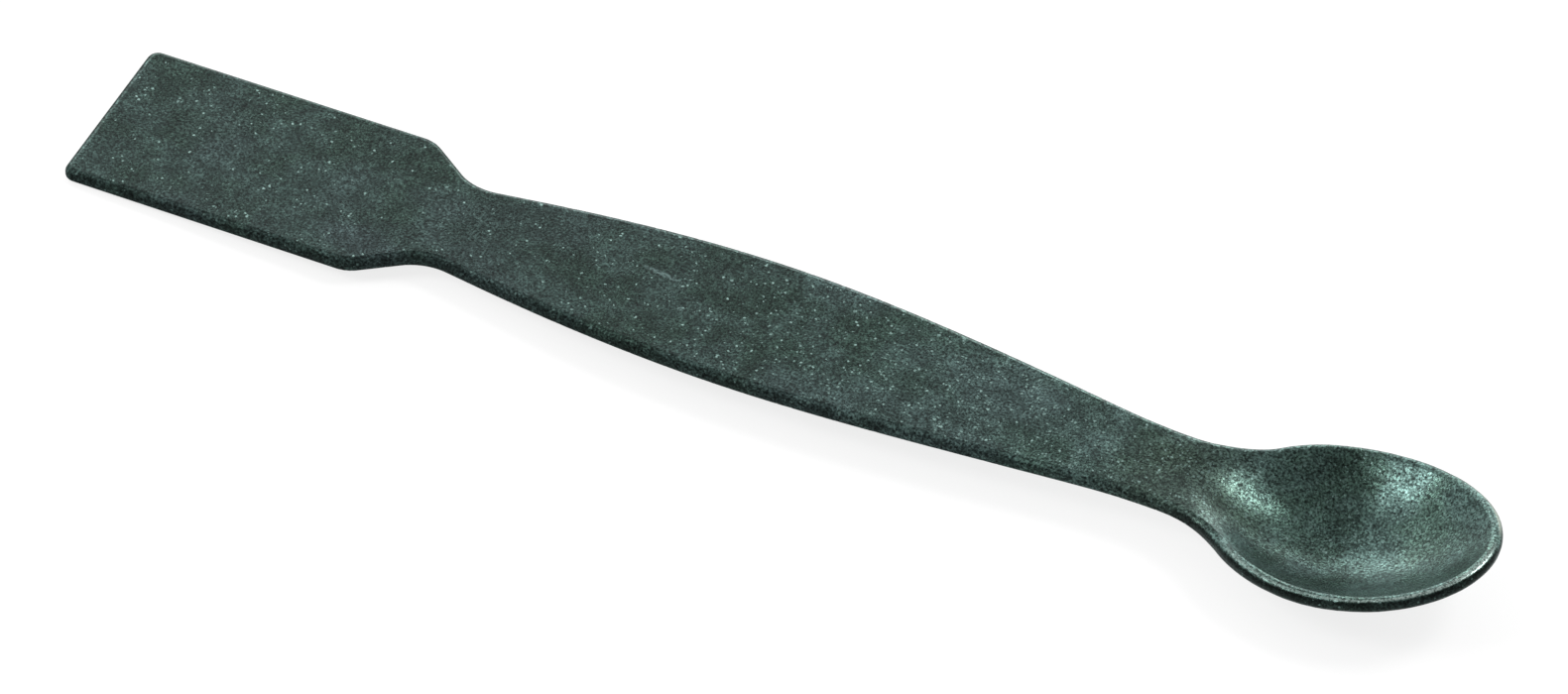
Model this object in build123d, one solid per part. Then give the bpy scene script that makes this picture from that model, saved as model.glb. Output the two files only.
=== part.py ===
from build123d import *
import os
from math import atan, cos, degrees, radians, sin, tan

# A chemist's spoon spatula: one steel blank with a flat rectangular blade at one end, a
# leaf-shaped flat handle, and an oval spoon bowl pressed into the other end.
#
# Drawing frame: millimetres, X along the tool from the blade's end to the spoon's tip, Y across
# it, and Z = 0 on the flat top of the blade and handle. The finished piece is then laid down as it
# comes to rest, on the blade's end and the underside of the bowl.

# Plan view, runs along X, each from the place before it
blade_length = 31.3
shoulder_run = 6.4
belly_run = 33.8
taper_run = 20.5
slim_run = 14.0
spoon_neck_run = 10.0
bowl_run = 19.1

# Plan view, full widths across Y
blade_width = 19.96
blade_neck_width = 10.9
belly_width = 17.5
taper_width = 14.84
slim_width = 11.54
spoon_neck_width = 10.06

# Plan view, corner radii and the angle at which the handle widens behind the blade
blade_corner_radius = 1.2
shoulder_radius = 3.5
neck_radius = 6.0
flank_angle = 9.0

# Spoon outline: an ellipse, left by the flare of the neck at this angle round it
bowl_length = 30.2
bowl_width = 22.5
flare_angle = 136.0

# Sheet, thinner at the blade's end, and the rounding of its upper and lower edges
sheet_thickness = 1.6
blade_end_thickness = 1.4
thinning_radius = 3000.0
top_edge_radius = 0.7
under_edge_radius = 0.5

# Side view of the sheet: it droops behind the belly and lifts again just before the bowl's middle
droop_run = 8.5
droop_angle = 2.6
droop_radius = 1200.0
lift_lead = 2.2
lift_angle = 14.6
lift_radius = 150.0

# Bowl: depth below its rim, the width of the rim round the hollow and how much wider it grows
# towards the neck, how far the hollow runs back from the bowl's middle, how softly it bends out of
# the rim and the neck, and how much wider its underside is, which keeps the sheet's thickness
bowl_depth = 5.2
rim_width = 0.4
neck_rim_growth = 3.0
hollow_back_length = 15.5
rim_softness = 0.8
neck_softness = 2.0
underside_spread = 0.35

# The spoon end starts this far before its neck, and its two surfaces go through a grid of points
seam_lead = 4.0
grid_rows = 31
grid_columns = 21
grid_margin = 1.5
grid_tolerance = 0.01

blade_neck_at = blade_length + shoulder_run
belly_at = blade_neck_at + belly_run
taper_at = belly_at + taper_run
slim_at = taper_at + slim_run
spoon_neck_at = slim_at + spoon_neck_run
bowl_centre = spoon_neck_at + bowl_run
overall_length = bowl_centre + bowl_length / 2
droop_at = belly_at + droop_run
lift_at = bowl_centre - lift_lead
spoon_start = spoon_neck_at - seam_lead


def half_outline():
    """One long side of the plan outline, from the middle of the blade's end to the tip."""
    flank_rise = neck_radius * tan(radians(flank_angle))
    blade = FilletPolyline(
        (0, 0),
        (0, blade_width / 2),
        (blade_length, blade_width / 2),
        (blade_neck_at, blade_neck_width / 2),
        (blade_neck_at + neck_radius, blade_neck_width / 2 + flank_rise),
        radius=[blade_corner_radius, shoulder_radius, neck_radius],
    )
    handle = Spline(
        blade @ 1,
        (belly_at, belly_width / 2),
        (taper_at, taper_width / 2),
        (slim_at, slim_width / 2),
        (spoon_neck_at, spoon_neck_width / 2),
        tangents=[blade % 1, (1, 0)],
    )
    rim = EllipticalCenterArc(
        (bowl_centre, 0), bowl_length / 2, bowl_width / 2, arc_size=flare_angle
    )
    flare = Spline(handle @ 1, rim @ 1, tangents=[(1, 0), (rim % 1) * -1])
    return Curve() + [blade, handle, flare, rim]


def plan_prism():
    """The plan outline as a tall prism, which trims the sheet to its shape."""
    half = half_outline()
    outline = make_face(Wire(half.edges() + mirror(half, Plane.XZ).edges()))
    return extrude(Pos(0, 0, -bowl_width) * outline, amount=2 * bowl_width)


def crest_height(x):
    """Height of the sheet's top along its edges, at a place in the spoon end."""
    slope = -radians(droop_angle)
    arc_start = lift_at - lift_radius * tan(radians(lift_angle) / 2) * cos(slope)
    if x < arc_start:
        return (x - droop_at) * tan(slope)
    start_height = (arc_start - droop_at) * tan(slope)
    centre_x = arc_start - lift_radius * sin(slope)
    centre_z = start_height + lift_radius * cos(slope)
    return centre_z - (lift_radius**2 - (x - centre_x) ** 2) ** 0.5


def hollow(x, y, spread):
    """Depth of the pressed hollow: a paraboloid that bends softly out of the rim and the neck."""
    half_length = bowl_length / 2 - rim_width + spread
    half_width = bowl_width / 2 - rim_width + spread
    softness = rim_softness
    if x < bowl_centre:
        back = ((bowl_centre - x) / hollow_back_length) ** 2
        half_length = hollow_back_length + spread
        half_width -= neck_rim_growth * min(back, 1)
        softness += (neck_softness - rim_softness) * back
    depth = bowl_depth * (1 - ((x - bowl_centre) / half_length) ** 2 - (y / half_width) ** 2)
    if depth > softness:
        return depth
    if depth < -softness:
        return 0.0
    return (depth + softness) ** 2 / (4 * softness)


def spoon_sheet():
    """The spoon end of the sheet, before its outline is trimmed."""
    end = overall_length + grid_margin
    half_width = bowl_width / 2 + grid_margin
    step = 0.01
    top_rows = []
    under_rows = []
    for i in range(grid_rows):
        x = spoon_start + (end - spoon_start) * i / (grid_rows - 1)
        slope = (crest_height(x + step) - crest_height(x - step)) / (2 * step)
        under_crest = crest_height(x) - sheet_thickness * (1 + slope**2) ** 0.5
        top_row = []
        under_row = []
        for j in range(grid_columns):
            y = half_width * (2 * j / (grid_columns - 1) - 1)
            top_row.append(Vector(x, y, crest_height(x) - hollow(x, y, 0)))
            under_row.append(Vector(x, y, under_crest - hollow(x, y, underside_spread)))
        top_rows.append(top_row)
        under_rows.append(under_row)
    top = Face.make_surface_from_array_of_points(top_rows, tol=grid_tolerance, min_deg=3)
    under = Face.make_surface_from_array_of_points(under_rows, tol=grid_tolerance, min_deg=3)
    sides = []
    for axis in (Axis.X, Axis.Y):
        for which in (0, -1):
            upper = top.edges().sort_by(axis)[which]
            lower = under.edges().sort_by(axis)[which]
            sides.append(Face.make_surface_from_curves(upper, lower))
    return Solid(Shell([top, under] + sides))


def handle_sheet():
    """The flat and gently drooping part of the sheet, before its outline is trimmed."""
    fall = radians(droop_angle)
    seam_height = crest_height(spoon_start)
    under_droop_at = droop_at - sheet_thickness * tan(fall / 2)
    top = FilletPolyline(
        (0, 0, 0),
        (droop_at, 0, 0),
        (spoon_start, 0, seam_height),
        radius=droop_radius,
    )
    under = FilletPolyline(
        (0, 0, -blade_end_thickness),
        (blade_neck_at, 0, -sheet_thickness),
        (under_droop_at, 0, -sheet_thickness),
        (spoon_start, 0, seam_height - sheet_thickness / cos(fall)),
        radius=[thinning_radius, droop_radius - sheet_thickness],
    )
    ends = [Line(top @ 0, under @ 0), Line(top @ 1, under @ 1)]
    side_view = make_face(Wire(top.edges() + under.edges() + ends))
    return extrude(Pos(0, -bowl_width, 0) * side_view, amount=2 * bowl_width, dir=(0, 1, 0))


def outline_edges(stretch, up):
    """The edges round a stretch's upper side, or its lower side where up is -1, without seams."""
    found = ShapeList()
    for face in stretch.faces():
        if face.normal_at().Z * up > 0.5:
            for edge in face.edges():
                middle = edge.center()
                if abs(middle.Y) > 0.01 or middle.X < blade_length or middle.X > bowl_centre:
                    found.append(edge)
    return found


def rounded(stretch):
    """A stretch of the blank with its outline rounded above and below."""
    stretch = stretch.fillet(top_edge_radius, outline_edges(stretch, 1))
    return stretch.fillet(under_edge_radius, outline_edges(stretch, -1))


def rest_angle(body):
    """Turn about Y that brings the blade's end and the underside of the bowl to one level."""
    blade_end = split(body, Plane.YZ.offset(blade_length), keep=Keep.BOTTOM)
    bowl_end = split(body, Plane.YZ.offset(spoon_start), keep=Keep.TOP)
    angle = 0.0
    for _ in range(5):
        turn = Rotation(0, angle, 0)
        blade_low = (turn * blade_end).bounding_box().min.Z
        bowl_low = (turn * bowl_end).bounding_box().min.Z
        angle -= degrees(atan((blade_low - bowl_low) / bowl_centre))
    return angle


def laid_down(body):
    """The piece at rest, with the middle of its footprint on the origin and its lowest level Z = 0."""
    body = Rotation(0, rest_angle(body), 0) * body
    box = body.bounding_box()
    return Pos(-box.center().X, -box.center().Y, -box.min.Z) * body


def spoon_spatula():
    """The whole piece: the two stretches of the blank, trimmed, rounded, joined and laid down."""
    prism = plan_prism()
    handle = rounded((handle_sheet() & prism).solid())
    spoon = rounded((spoon_sheet() & prism).solid())
    return laid_down(handle + spoon)


os.makedirs("parts", exist_ok=True)
piece = spoon_spatula()
piece.label = "spoon_spatula"
export_step(piece, "parts/spoon_spatula.step")
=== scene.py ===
import math
from types import SimpleNamespace
from typing import NamedTuple

import bpy
from mathutils import Matrix, Vector

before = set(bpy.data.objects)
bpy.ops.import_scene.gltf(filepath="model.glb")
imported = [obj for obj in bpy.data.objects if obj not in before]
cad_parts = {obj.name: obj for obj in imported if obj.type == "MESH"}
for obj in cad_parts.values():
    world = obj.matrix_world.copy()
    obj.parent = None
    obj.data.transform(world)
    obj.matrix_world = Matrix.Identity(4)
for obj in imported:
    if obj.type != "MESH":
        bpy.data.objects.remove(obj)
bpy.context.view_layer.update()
bpy.context.scene.view_settings.view_transform = "Standard"


class Oval(NamedTuple):
    """An oval on the tool's face, in the tool's own millimetres, turned by an angle in degrees.

    What lies in it has full strength at its middle and fades out over a range of distances from
    there, where the oval's outline is 1.
    """

    middle: tuple
    half_length: float
    half_width: float
    turn: float = 0.0
    fade: tuple = (1.0, 1.0)
    strength: float = 1.0


# Lay of the tool in the row frame, as the part's source lays it down: millimetres along it are
# turned about Y by this angle and then moved by this shift.
REST_TURN = math.radians(-2.8063)
REST_SHIFT = Vector((-75.033, 0.0, 1.377))

# Camera, found by fitting the photograph's outline: where it looks in the tool's own millimetres,
# its height over the blade's plane, its turn about Z, its distance and its scale at that distance.
LOOK_AT = Vector((75.32, -2.47, 0.0))
CAMERA_RISE = math.radians(42.82)
CAMERA_TURN = math.radians(25.58)
CAMERA_DISTANCE = 2.0
SENSOR_WIDTH = 36.0
PIXELS_PER_MM = 10.34
PHOTO_WIDTH = 1581

# Brightness of the studio walls: in front, behind, and overhead as a share of those, and how much
# brighter the backdrop is low down behind the tool
WALL_FRONT = 0.6
WALL_BEHIND = 0.95
WALL_OVERHEAD = 0.73
BACKDROP_GLOW = 1.6
BACKDROP_DIRECTION = (-0.17, 0.985, 0.0)

# Where the walls change, seen from the tool: Y of a direction from the front wall to the one
# behind, and its Z from the walls to overhead
FRONT_TO_BEHIND = (-0.6, 0.8)
WALLS_TO_OVERHEAD = (0.55, 0.9)

# The backdrop's glow: a direction's cosine to its middle, from no glow to full glow, and a
# direction's Z, from full glow to none
GLOW_CLOSENESS = (0.35, 0.9)
GLOW_HEIGHT = (0.12, 0.40)

# Soft round panels on the walls: turn about Z and height in degrees, how far out each is full and
# where it fades out in degrees, and its brightness
PANELS = (
    (129, 23, 5, 19, 4.4),
    (100, 14, 4, 18, 3.8),
    (148, 21, 4, 17, 1.3),
    (168, 40, 5, 30, 1.3),
    (66, 40, 4, 24, 0.8),
)

# Square lamps: their distance in metres, and for each its direction, its width and its watts
LAMP_DISTANCE = 1.2
LAMPS = {
    "lamp_right": ((0.45, 0.38, 0.81), 0.34, 6.0),
    "lamp_left": ((-0.585, -0.42, 0.694), 0.46, 7.0),
}

# Floor, and the share of its white that is even, so that the tool's shadow stays faint
FLOOR_RADIUS = 6.0
FLOOR_WHITE = (0.9, 0.9, 0.9, 1)
FLOOR_EVENNESS = 0.8

# Colours of the coating, from its darkest grain to its palest flecks, of its worn places, and of
# its painted shade and painted highlights
GREEN_BLACK = (0.025, 0.045, 0.037)
GREEN_GREY = (0.031, 0.053, 0.048)
BLUE_GREY = (0.036, 0.054, 0.055)
# Olive of the painted shade at the spoon's neck
NECK_SHADE_OLIVE = (0.036, 0.056, 0.032)
FLECK_DULL = (0.075, 0.120, 0.110)
FLECK_PALE = (0.078, 0.124, 0.114)
FLECK_BRIGHT = (0.125, 0.185, 0.172)
SCRATCH = (0.10, 0.15, 0.145)
# Pale colour of the painted highlight on the far rim at the spoon's tip
RIM_HIGHLIGHT = (0.24, 0.27, 0.23)
# Colours of the painted highlight along the spoon's near lip
LIP_HIGHLIGHT_PALE = (0.20, 0.27, 0.25)
LIP_HIGHLIGHT_BRIGHT = (0.35, 0.44, 0.41)

# Spoon's outline, the places where the coating differs, and where shade and highlights are painted
BOWL = Oval((135.1, 0.0), 15.1, 11.25)
# Painted shade at the spoon's neck, darker and greener where it bends down into the bowl
NECK_SHADE_PATCH = Oval((117.5, -1.2), 8.0, 7.0, 0.0, (0.3, 1.3), 0.3)
PALE_PATCH = Oval((31.5, -6.8), 6.5, 2.6, -7.0, (0.4, 1.1), 0.8)
SCRATCH_LINE = Oval((59.9, 1.93), 2.3, 0.30, -8.3, (0.5, 1.2), 0.8)
SMALL_MARK = Oval((63.8, -1.83), 0.45, 0.25, 20.0, (0.5, 1.2), 0.8)
# Painted highlight on the far rim at the spoon's tip
RIM_HIGHLIGHT_STRETCH = Oval((145.5, 8.0), 6.5, 4.0, -35.0, (0.7, 1.2))
# Where the painted highlight along the near lip and the painted shade under it lie
NEAR_LIP = Oval((142.0, -9.5), 19.0, 13.0, 0.0, (0.75, 1.0))

# Noises of the coating, from soft patches to single grains: cells to the metre, detail, roughness
PATCHES = (75, 2, 0.5)
TINT = (190, 3, 0.5)
CLUMPS = (420, 3, 0.6)
GRAIN = (4300, 2, 0.7)
DUST_CELLS = 5000

# Range of each noise over which the coating's colour changes
PATCH_RANGE = (0.46, 0.68)
TINT_RANGE = (0.38, 0.62)
CLUMP_RANGE = (0.35, 0.65)
GRAIN_RANGE = (0.30, 0.70)

# Strength of the soft bluish patches
PATCH_STRENGTH = 0.5

# Lowest and highest brightness that the grain, the dust and the clumps give the coating, and its
# brightness at the blade and at the spoon, where 1 is its plain colour
GRAIN_LEVELS = (0.16, 1.75)
DUST_LEVELS = (0.5, 1.5)
CLUMP_LEVELS = (0.80, 1.28)
END_LEVELS = (0.67, 1.40)
# Brightness under the painted shade at the spoon's neck
NECK_SHADE_LEVEL = 0.74

# Stretches of the row frame's X, in metres: the coating gets paler towards the spoon and its flecks
# denser, and the painted highlight on the spoon's lip gets narrower and then brighter towards the
# tip
PALER_ALONG = (-0.02, 0.05)
DENSER_ALONG = (-0.03, 0.04)
LIP_HIGHLIGHT_NARROWS = (0.050, 0.058)
LIP_HIGHLIGHT_BRIGHTENS = (0.058, 0.070)

# The painted shade on upright faces: how much darker it is on the spoon and elsewhere, how far
# out from the spoon's middle it begins and turns into the handle's, and the Z of a face's normal
# from where it is full to where it ends, elsewhere and along the spoon's near lip
SPOON_EDGE_PAINTED_SHADE = 0.80
EDGE_PAINTED_SHADE = 0.26
EDGE_SHADE_BEGINS = (0.955, 0.975)
EDGE_SHADE_TO_HANDLE = (1.1, 1.3)
EDGE_SHADE_SLOPES = (0.35, 0.98)
NEAR_EDGE_SHADE_SLOPES = (0.70, 0.90)

# The painted highlight on the far rim at the tip: how far out it begins, the Z of a face's normal
# from none to full, and the range of the clumps over which it is broken up, with its lowest
# strength there
RIM_HIGHLIGHT_BEGINS = (0.965, 0.980)
RIM_HIGHLIGHT_SLOPES = (0.35, 0.70)
RIM_HIGHLIGHT_RANGE = (0.38, 0.55)
RIM_HIGHLIGHT_LEAST = 0.3

# The painted highlight on the spoon's near lip: its strength, how far out it begins where it is
# wide and where it is narrow, how far out it is full, and the Z of a face's normal from none to
# full
LIP_HIGHLIGHT_STRENGTH = 0.8
LIP_HIGHLIGHT_BEGINS = (0.925, 0.943)
LIP_HIGHLIGHT_FULL = 0.956
LIP_HIGHLIGHT_SLOPES = (0.80, 0.91)

# Range of the grain over which scratches and the painted lip highlight are broken up, and their
# lowest strength
BROKEN_RANGE = (0.35, 0.60)
SCRATCH_LEAST = 0.1
LIP_HIGHLIGHT_LEAST = 0.2

# Roughness of the coating over a range of the tint, how the dust changes it, and how much rougher
# the handle's rounded edges are: how far out from the spoon's middle, and from where they are full
# to where they end
SATIN = (0.26, 0.33)
SATIN_RANGE = (0.3, 0.7)
DUST_ROUGHNESS = (1.2, 0.85)
EDGE_ROUGHNESS = 0.45
ROUGH_TO_HANDLE = (1.02, 1.15)
ROUGH_SLOPES = (0.80, 0.99)

# Relief of the grain: its height in metres and its strength
GRAIN_HEIGHT = 0.00003
GRAIN_STRENGTH = 0.6

# Flecks: cells to the metre, radius as a share of a cell, share of the cells that hold one, how far
# they lean, and colour
FLECKS = (
    (3000, 0.42, 0.26, 0.25, FLECK_DULL),
    (1900, 0.30, 0.06, 0.16, FLECK_PALE),
    (950, 0.16, 0.012, 0.20, FLECK_BRIGHT),
)

# Radius of the smallest fleck and how much bigger the biggest is, and where a fleck fades out, all
# as shares of the radius above
FLECK_SMALLEST = 0.6
FLECK_SPREAD = 0.7
FLECK_FADE = (0.5, 1.1)

# How dense the flecks are between the clumps and in them, and at the blade and at the spoon
CLUMP_DENSITY = (0.25, 1.5)
END_DENSITY = (0.20, 1.4)

# Noise that bends the flecks out of round, and how far it does, in metres
WARP = (2600, 1, 0.5)
WARP_REACH = 0.0003

# The coating is partly metallic: its gloss and the tint of its reflections at a low angle
METALLIC = 0.8
GLOSS_IOR = 1.38
GLOSS_TINT = (0.80, 0.87, 0.86, 1)


def row_direction(vector):
    """A direction in the tool's own frame, turned into the row frame."""
    return Matrix.Rotation(REST_TURN, 3, "Y") @ vector


def row_point(millimetres):
    """A point in the tool's own millimetres, as a point in the row frame in metres."""
    return (row_direction(millimetres) + REST_SHIFT) / 1000


def make_camera():
    """Long-lens camera at the photograph's viewing angle."""
    data = bpy.data.cameras.new("camera")
    data.sensor_width = SENSOR_WIDTH
    data.lens = PIXELS_PER_MM * CAMERA_DISTANCE * 1000 / PHOTO_WIDTH * SENSOR_WIDTH
    data.clip_start = 0.05
    data.clip_end = 20.0
    camera = bpy.data.objects.new("camera", data)
    bpy.context.scene.collection.objects.link(camera)
    back = Vector(
        (
            math.sin(CAMERA_TURN) * math.cos(CAMERA_RISE),
            -math.cos(CAMERA_TURN) * math.cos(CAMERA_RISE),
            math.sin(CAMERA_RISE),
        )
    )
    right = Vector((math.cos(CAMERA_TURN), math.sin(CAMERA_TURN), 0.0))
    up = back.cross(right)
    axes = [row_direction(axis) for axis in (right, up, back)]
    place = Matrix(axes).transposed().to_4x4()
    place.translation = row_point(LOOK_AT) + axes[2] * CAMERA_DISTANCE
    camera.matrix_world = place
    bpy.context.scene.camera = camera


def add(tree, kind, inputs=None, **settings):
    """A new node: its inputs are values or other nodes' outputs, and settings its attributes."""
    node = tree.nodes.new(kind)
    for name, value in settings.items():
        setattr(node, name, value)
    for key, value in (inputs or {}).items():
        if isinstance(value, bpy.types.NodeSocket):
            tree.links.new(value, node.inputs[key])
        else:
            node.inputs[key].default_value = value
    return node


def calculate(tree, operation, *values):
    """The output of a Math node."""
    return add(tree, "ShaderNodeMath", dict(enumerate(values)), operation=operation).outputs[0]


def product(tree, value, *factors):
    """A value multiplied by each of the factors."""
    for factor in factors:
        value = calculate(tree, "MULTIPLY", value, factor)
    return value


def calculate_vector(tree, operation, first, second=None):
    """The output of a Vector Math node. The second value is a number where it scales the first."""
    inputs = {0: first}
    if operation == "SCALE":
        inputs["Scale"] = second
    elif second is not None:
        inputs[1] = second
    output = "Value" if operation in ("DOT_PRODUCT", "LENGTH") else "Vector"
    return add(tree, "ShaderNodeVectorMath", inputs, operation=operation).outputs[output]


def ease(tree, value, start, end, low=0.0, high=1.0):
    """A value mapped smoothly from start and end to low and high, and held beyond them."""
    inputs = {"Value": value, 1: start, 2: end, 3: low, 4: high}
    node = add(tree, "ShaderNodeMapRange", inputs, interpolation_type="SMOOTHSTEP")
    return node.outputs["Result"]


def blend(tree, factor, first, second, kind="MIX"):
    """The output of a colour mix of two colours or outputs."""
    inputs = {0: factor, 6: first, 7: second}
    for key in (6, 7):
        if isinstance(inputs[key], tuple):
            inputs[key] = (*inputs[key], 1)
    node = add(tree, "ShaderNodeMix", inputs, data_type="RGBA", blend_type=kind)
    return node.outputs[2]


def noise(tree, place, scale, detail, roughness):
    """The grey output of a noise."""
    inputs = {"Vector": place, "Scale": scale, "Detail": detail, "Roughness": roughness}
    return add(tree, "ShaderNodeTexNoise", inputs).outputs["Fac"]


def from_oval(tree, place, oval):
    """How far out from an oval's middle a place is, where its outline is 1."""
    turn = math.radians(oval.turn)
    lengthwise = row_direction(Vector((math.cos(turn), math.sin(turn), 0.0)))
    crosswise = row_direction(Vector((-math.sin(turn), math.cos(turn), 0.0)))
    middle = row_point(Vector((*oval.middle, 0.0)))
    from_middle = calculate_vector(tree, "SUBTRACT", place, middle)
    parts = {}
    for key, direction, reach in (
        ("X", lengthwise, oval.half_length),
        ("Y", crosswise, oval.half_width),
    ):
        step = direction * 1000 / reach
        parts[key] = calculate_vector(tree, "DOT_PRODUCT", from_middle, step)
    joined = add(tree, "ShaderNodeCombineXYZ", parts).outputs["Vector"]
    return calculate_vector(tree, "LENGTH", joined)


def within(tree, place, oval):
    """How strongly a place lies within an oval."""
    return ease(tree, from_oval(tree, place, oval), *oval.fade, oval.strength, 0.0)


def new_material(name):
    """A material with an empty node tree."""
    material = bpy.data.materials.new(name)
    material.use_nodes = True
    material.node_tree.nodes.clear()
    return material


def make_stage():
    """White floor, which shows the tool's own soft shadow."""
    bpy.ops.mesh.primitive_circle_add(vertices=96, radius=FLOOR_RADIUS, fill_type="NGON")
    floor = bpy.context.object
    floor.name = "floor"
    material = new_material("floor_white")
    tree = material.node_tree
    lit = add(tree, "ShaderNodeBsdfDiffuse", {"Color": FLOOR_WHITE})
    even = add(tree, "ShaderNodeEmission", {"Color": (1, 1, 1, 1), "Strength": 1.0})
    path = add(tree, "ShaderNodeLightPath")
    seen = calculate(tree, "MAXIMUM", path.outputs["Is Camera Ray"], path.outputs["Is Glossy Ray"])
    seen = calculate(tree, "MAXIMUM", seen, path.outputs["Is Transmission Ray"])
    share = product(tree, seen, FLOOR_EVENNESS)
    shader = add(tree, "ShaderNodeMixShader", {0: share, 1: lit.outputs[0], 2: even.outputs[0]})
    add(tree, "ShaderNodeOutputMaterial", {"Surface": shader.outputs[0]})
    floor.data.materials.append(material)


def panel(tree, direction, turn, rise, full, faded, brightness):
    """Brightness of a soft round panel on the studio walls. Its angles are in degrees."""
    turn = math.radians(turn)
    rise = math.radians(rise)
    level = math.cos(rise)
    towards = (math.cos(turn) * level, math.sin(turn) * level, math.sin(rise))
    closeness = calculate_vector(tree, "DOT_PRODUCT", direction, towards)
    starts = math.cos(math.radians(faded))
    ends = math.cos(math.radians(full))
    return ease(tree, closeness, starts, ends, 0.0, brightness)


def make_world():
    """Studio walls: darker overhead and in front, bright low down behind, with soft panels."""
    world = bpy.data.worlds.new("studio")
    world.use_nodes = True
    tree = world.node_tree
    tree.nodes.clear()
    direction = add(tree, "ShaderNodeTexCoord").outputs["Generated"]
    split = add(tree, "ShaderNodeSeparateXYZ", {"Vector": direction})
    height = split.outputs["Z"]
    walls = product(
        tree,
        ease(tree, split.outputs["Y"], *FRONT_TO_BEHIND, WALL_FRONT, WALL_BEHIND),
        ease(tree, height, *WALLS_TO_OVERHEAD, 1.0, WALL_OVERHEAD),
    )
    behind = calculate_vector(tree, "DOT_PRODUCT", direction, BACKDROP_DIRECTION)
    glow = product(
        tree,
        ease(tree, behind, *GLOW_CLOSENESS, 0.0, BACKDROP_GLOW),
        ease(tree, height, *GLOW_HEIGHT, 1.0, 0.0),
    )
    walls = calculate(tree, "ADD", walls, glow)
    for facts in PANELS:
        walls = calculate(tree, "ADD", walls, panel(tree, direction, *facts))
    inputs = {"Color": (1, 1, 1, 1), "Strength": walls}
    background = add(tree, "ShaderNodeBackground", inputs)
    add(tree, "ShaderNodeOutputWorld", {"Surface": background.outputs[0]})
    bpy.context.scene.world = world


def make_lamp(name, direction, width, watts):
    """A square area lamp that faces the tool from a direction."""
    data = bpy.data.lights.new(name, "AREA")
    data.shape = "SQUARE"
    data.size = width
    data.energy = watts
    lamp = bpy.data.objects.new(name, data)
    bpy.context.scene.collection.objects.link(lamp)
    direction = Vector(direction).normalized()
    lamp.location = direction * LAMP_DISTANCE
    lamp.rotation_mode = "QUATERNION"
    lamp.rotation_quaternion = direction.to_track_quat("Z", "Y")


def measures(tree):
    """What the coating goes by: where a point is, how its face lies, and the noises there."""
    place = add(tree, "ShaderNodeTexCoord").outputs["Object"]
    normal = add(tree, "ShaderNodeNewGeometry").outputs["Normal"]
    facing = add(tree, "ShaderNodeSeparateXYZ", {"Vector": normal}).outputs["Z"]
    cells = add(tree, "ShaderNodeTexVoronoi", {"Vector": place, "Scale": DUST_CELLS})
    dust = add(tree, "ShaderNodeSeparateColor", {"Color": cells.outputs["Color"]})
    return SimpleNamespace(
        place=place,
        along=add(tree, "ShaderNodeSeparateXYZ", {"Vector": place}).outputs["X"],
        from_bowl=from_oval(tree, place, BOWL),
        from_neck_shade=from_oval(tree, place, NECK_SHADE_PATCH),
        near_lip=within(tree, place, NEAR_LIP),
        facing=facing,
        flatness=calculate(tree, "ABSOLUTE", facing),
        patches=noise(tree, place, *PATCHES),
        tint=noise(tree, place, *TINT),
        clumps=noise(tree, place, *CLUMPS),
        grain=noise(tree, place, *GRAIN),
        dust=dust.outputs[0],
    )


def share_under_painted_shade(tree, at):
    """Share of its brightness that the coating keeps under a painted shade on upright faces: less
    on the cut edge, least at the spoon.
    """
    full, none = (
        ease(tree, at.near_lip, 0.0, 1.0, slope, near_slope)
        for slope, near_slope in zip(EDGE_SHADE_SLOPES, NEAR_EDGE_SHADE_SLOPES)
    )
    edge = product(
        tree,
        ease(tree, at.flatness, full, none, 1.0, 0.0),
        ease(tree, at.from_bowl, *EDGE_SHADE_BEGINS),
        ease(tree, at.from_bowl, *EDGE_SHADE_TO_HANDLE, SPOON_EDGE_PAINTED_SHADE, EDGE_PAINTED_SHADE),
    )
    return calculate(tree, "SUBTRACT", 1.0, edge)


def ground(tree, at, painted_shade_kept):
    """Dark grainy ground with soft bluish patches, and a painted shade, darker and greener, at the
    spoon's neck.
    """
    patches = ease(tree, at.patches, *PATCH_RANGE, 0.0, PATCH_STRENGTH)
    # Painted shade at the spoon's neck
    neck_shade = ease(tree, at.from_neck_shade, *NECK_SHADE_PATCH.fade, NECK_SHADE_PATCH.strength, 0.0)
    colour = blend(tree, ease(tree, at.tint, *TINT_RANGE), GREEN_BLACK, GREEN_GREY)
    colour = blend(tree, patches, colour, BLUE_GREY)
    colour = blend(tree, within(tree, at.place, PALE_PATCH), colour, BLUE_GREY)
    colour = blend(tree, neck_shade, colour, NECK_SHADE_OLIVE)
    level = product(
        tree,
        ease(tree, at.grain, *GRAIN_RANGE, *GRAIN_LEVELS),
        ease(tree, at.dust, 0.0, 1.0, *DUST_LEVELS),
        ease(tree, at.clumps, *CLUMP_RANGE, *CLUMP_LEVELS),
        # The painted shade on upright faces darkens the coating here
        painted_shade_kept,
        ease(tree, at.along, *PALER_ALONG, *END_LEVELS),
        ease(tree, at.from_neck_shade, *NECK_SHADE_PATCH.fade, NECK_SHADE_LEVEL, 1.0),
    )
    return blend(tree, 1.0, colour, level, "MULTIPLY")


def flecks(tree, place, scale, reach, share):
    """Scattered flecks, one to a cell at most: their mask, and a random colour for each one."""
    cells = add(tree, "ShaderNodeTexVoronoi", {"Vector": place, "Scale": scale})
    pick = add(tree, "ShaderNodeSeparateColor", {"Color": cells.outputs["Color"]})
    held = calculate(tree, "LESS_THAN", pick.outputs[0], share)
    spread = FLECK_SPREAD * reach
    radius = calculate(tree, "MULTIPLY_ADD", pick.outputs[1], spread, FLECK_SMALLEST * reach)
    edge = calculate(tree, "DIVIDE", cells.outputs["Distance"], radius)
    mask = product(tree, held, ease(tree, edge, *FLECK_FADE, 1.0, 0.0))
    return mask, cells.outputs["Color"]


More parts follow.
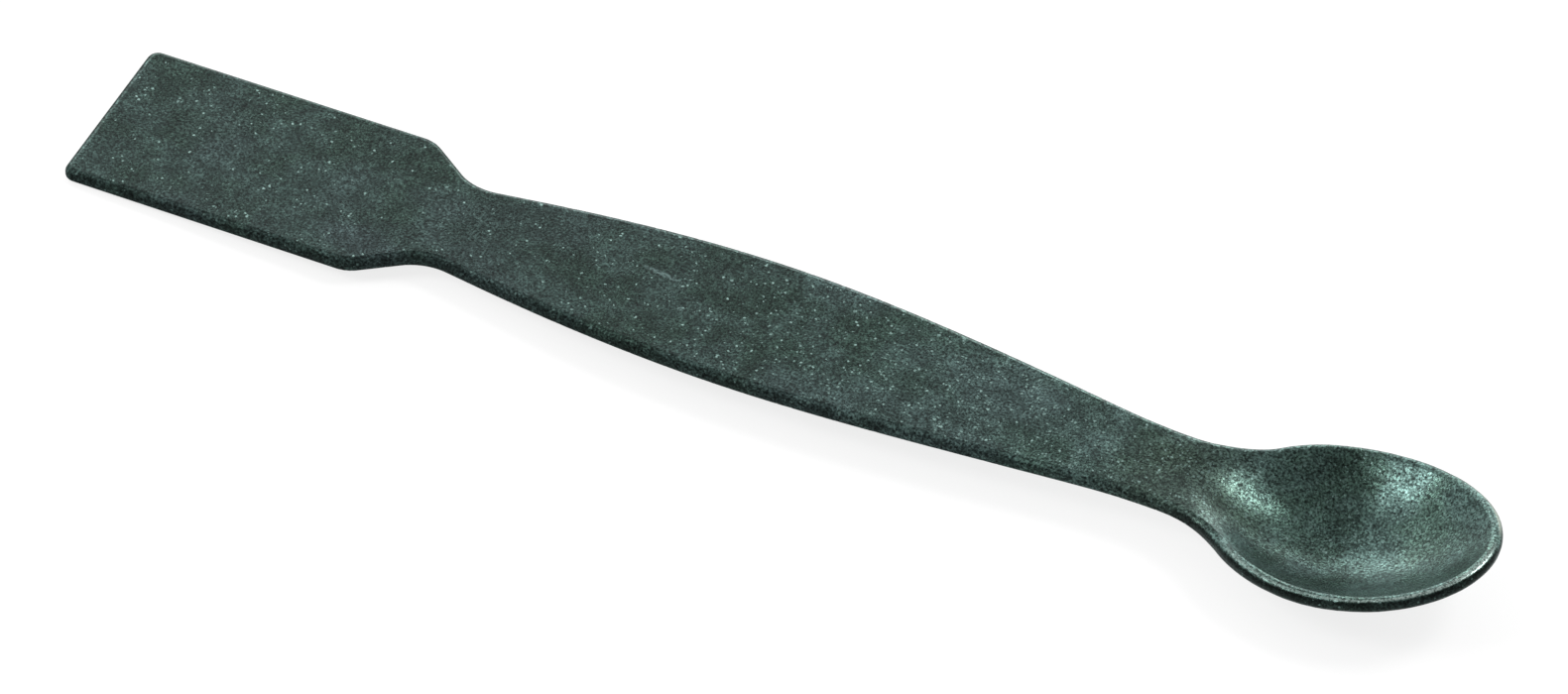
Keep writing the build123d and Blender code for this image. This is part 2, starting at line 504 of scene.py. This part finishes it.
def add_flecks(tree, at, painted_shade_kept, colour):
    """The colour with its flecks, and a normal on which each leans its own way to catch light."""
    warp = noise(tree, at.place, *WARP).node.outputs["Color"]
    bent = calculate_vector(tree, "MULTIPLY", warp, Vector((WARP_REACH,) * 3))
    bent = calculate_vector(tree, "ADD", bent, at.place)
    density = product(
        tree,
        ease(tree, at.clumps, *CLUMP_RANGE, *CLUMP_DENSITY),
        # Fewer flecks under the painted shade on upright faces
        painted_shade_kept,
        ease(tree, at.along, *DENSER_ALONG, *END_DENSITY),
    )
    relief = {"Strength": GRAIN_STRENGTH, "Distance": GRAIN_HEIGHT, "Height": at.grain}
    normal = add(tree, "ShaderNodeBump", relief).outputs["Normal"]
    for scale, reach, share, tilt, shade in FLECKS:
        mask, random = flecks(tree, bent, scale, reach, product(tree, density, share))
        colour = blend(tree, mask, colour, shade)
        lean = calculate_vector(tree, "SUBTRACT", random, Vector((0.5,) * 3))
        lean = calculate_vector(tree, "SCALE", lean, product(tree, mask, tilt))
        normal = calculate_vector(tree, "ADD", normal, lean)
    return colour, calculate_vector(tree, "NORMALIZE", normal)


def add_scratches(tree, at, colour):
    """The colour with the scratch and the small mark on the handle, both broken up by the grain."""
    line = within(tree, at.place, SCRATCH_LINE)
    mark = within(tree, at.place, SMALL_MARK)
    both = calculate(tree, "MAXIMUM", line, mark)
    both = product(tree, both, ease(tree, at.grain, *BROKEN_RANGE, SCRATCH_LEAST, 1.0))
    return blend(tree, both, colour, SCRATCH)


def add_painted_rim_highlight(tree, at, colour):
    """The colour with a painted highlight on the far rim of the spoon's tip."""
    rim_highlight = product(
        tree,
        within(tree, at.place, RIM_HIGHLIGHT_STRETCH),
        ease(tree, at.from_bowl, *RIM_HIGHLIGHT_BEGINS),
        ease(tree, at.facing, *RIM_HIGHLIGHT_SLOPES),
        ease(tree, at.clumps, *RIM_HIGHLIGHT_RANGE, RIM_HIGHLIGHT_LEAST, 1.0),
    )
    return blend(tree, rim_highlight, colour, RIM_HIGHLIGHT)


def add_painted_lip_highlight(tree, at, colour):
    """The colour with a painted highlight along the spoon's near lip, brightest at the tip."""
    begins = ease(tree, at.along, *LIP_HIGHLIGHT_NARROWS, *LIP_HIGHLIGHT_BEGINS)
    lip_highlight = product(
        tree,
        at.near_lip,
        ease(tree, at.from_bowl, begins, LIP_HIGHLIGHT_FULL, 0.0, LIP_HIGHLIGHT_STRENGTH),
        ease(tree, at.facing, *LIP_HIGHLIGHT_SLOPES),
        ease(tree, at.grain, *BROKEN_RANGE, LIP_HIGHLIGHT_LEAST, 1.0),
    )
    shade = blend(tree, ease(tree, at.along, *LIP_HIGHLIGHT_BRIGHTENS), LIP_HIGHLIGHT_PALE, LIP_HIGHLIGHT_BRIGHT)
    return blend(tree, lip_highlight, colour, shade)


def coating_roughness(tree, at):
    """Satin, a little uneven, and dull along the rounded edges of the blade and the handle."""
    satin = product(
        tree,
        ease(tree, at.tint, *SATIN_RANGE, *SATIN),
        ease(tree, at.dust, 0.0, 1.0, *DUST_ROUGHNESS),
    )
    dull = product(
        tree,
        ease(tree, at.flatness, *ROUGH_SLOPES, 1.0, 0.0),
        ease(tree, at.from_bowl, *ROUGH_TO_HANDLE, 0.0, EDGE_ROUGHNESS),
    )
    return calculate(tree, "ADD", satin, dull)


def coating():
    """Dark green-grey fluoropolymer coating with fine grain, pale flecks, mottling, wear, painted
    shade and painted highlights.
    """
    material = new_material("fleck_coating")
    tree = material.node_tree
    at = measures(tree)
    # Painted shade that darkens the upright faces and cut edges
    painted_shade_kept = share_under_painted_shade(tree, at)
    colour = ground(tree, at, painted_shade_kept)
    colour, normal = add_flecks(tree, at, painted_shade_kept, colour)
    colour = add_scratches(tree, at, colour)
    # Painted highlight on the far rim at the spoon's tip
    colour = add_painted_rim_highlight(tree, at, colour)
    # Painted highlight along the spoon's near lip
    colour = add_painted_lip_highlight(tree, at, colour)
    inputs = {
        "Base Color": colour,
        "Metallic": METALLIC,
        "Roughness": coating_roughness(tree, at),
        "IOR": GLOSS_IOR,
        "Specular Tint": GLOSS_TINT,
        "Normal": normal,
    }
    shader = add(tree, "ShaderNodeBsdfPrincipled", inputs)
    add(tree, "ShaderNodeOutputMaterial", {"Surface": shader.outputs[0]})
    return material


def dress(name, material):
    """Gives a node of the frame its material."""
    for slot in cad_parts[name].material_slots:
        slot.material = material


make_camera()
make_stage()
make_world()
for name, facts in LAMPS.items():
    make_lamp(name, *facts)
dress("spoon_spatula", coating())
